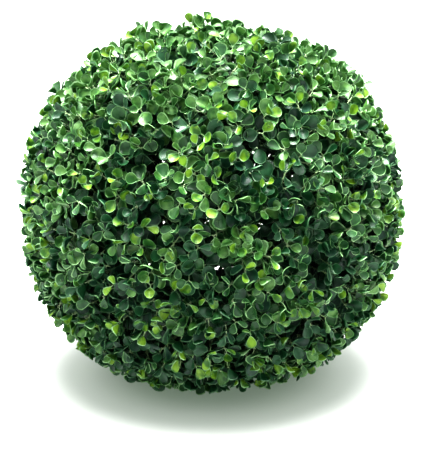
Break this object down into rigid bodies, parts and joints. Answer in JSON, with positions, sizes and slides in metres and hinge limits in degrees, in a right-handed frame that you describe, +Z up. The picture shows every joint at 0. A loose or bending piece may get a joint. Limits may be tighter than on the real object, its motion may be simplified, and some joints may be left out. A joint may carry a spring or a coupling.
{
  "type": "artificial boxwood topiary ball",
  "caption": "Round clipped ball of small plastic boxwood leaves on a hollow lattice frame, slightly flattened underneath so that it stands by itself.",
  "frame": {"origin": "on the surface that the ball stands on, below the ball's centre", "axes": "+Z up; X and Y are level, and no side is the front"},
  "size_m": [0.3459, 0.3475, 0.3263],
  "materials": {
    "foliage_dark": "satin moulded leaves, dark green",
    "foliage_mid": "satin moulded leaves, mid green",
    "foliage_light": "satin moulded leaves, light green",
    "frame_green": "moulded, matt dark green"
  },
  "bodies": {
    "root": {"frame_lower": "frame_green", "frame_upper": "frame_green", "foliage_lower_01": "foliage_dark", "foliage_lower_02": "foliage_mid", "foliage_lower_03": "foliage_light", "foliage_lower_04": "foliage_dark", "foliage_lower_05": "foliage_mid", "foliage_lower_06": "foliage_light", "foliage_lower_07": "foliage_dark", "foliage_lower_08": "foliage_mid", "foliage_lower_09": "foliage_light", "foliage_lower_10": "foliage_dark", "foliage_lower_11": "foliage_mid", "foliage_lower_12": "foliage_light", "foliage_lower_13": "foliage_dark", "foliage_lower_14": "foliage_mid", "foliage_lower_15": "foliage_light", "foliage_lower_16": "foliage_dark", "foliage_lower_17": "foliage_mid", "foliage_lower_18": "foliage_light", "foliage_lower_19": "foliage_dark", "foliage_lower_20": "foliage_mid", "foliage_lower_21": "foliage_light", "foliage_lower_22": "foliage_dark", "foliage_lower_23": "foliage_mid", "foliage_lower_24": "foliage_light", "foliage_upper_01": "foliage_dark", "foliage_upper_02": "foliage_mid", "foliage_upper_03": "foliage_light", "foliage_upper_04": "foliage_dark", "foliage_upper_05": "foliage_mid", "foliage_upper_06": "foliage_light", "foliage_upper_07": "foliage_dark", "foliage_upper_08": "foliage_mid", "foliage_upper_09": "foliage_light", "foliage_upper_10": "foliage_dark", "foliage_upper_11": "foliage_mid", "foliage_upper_12": "foliage_light", "foliage_upper_13": "foliage_dark", "foliage_upper_14": "foliage_mid", "foliage_upper_15": "foliage_light", "foliage_upper_16": "foliage_dark", "foliage_upper_17": "foliage_mid", "foliage_upper_18": "foliage_light", "foliage_upper_19": "foliage_dark", "foliage_upper_20": "foliage_mid", "foliage_upper_21": "foliage_light", "foliage_upper_22": "foliage_dark", "foliage_upper_23": "foliage_mid", "foliage_upper_24": "foliage_light"}
  },
  "joints": []
}
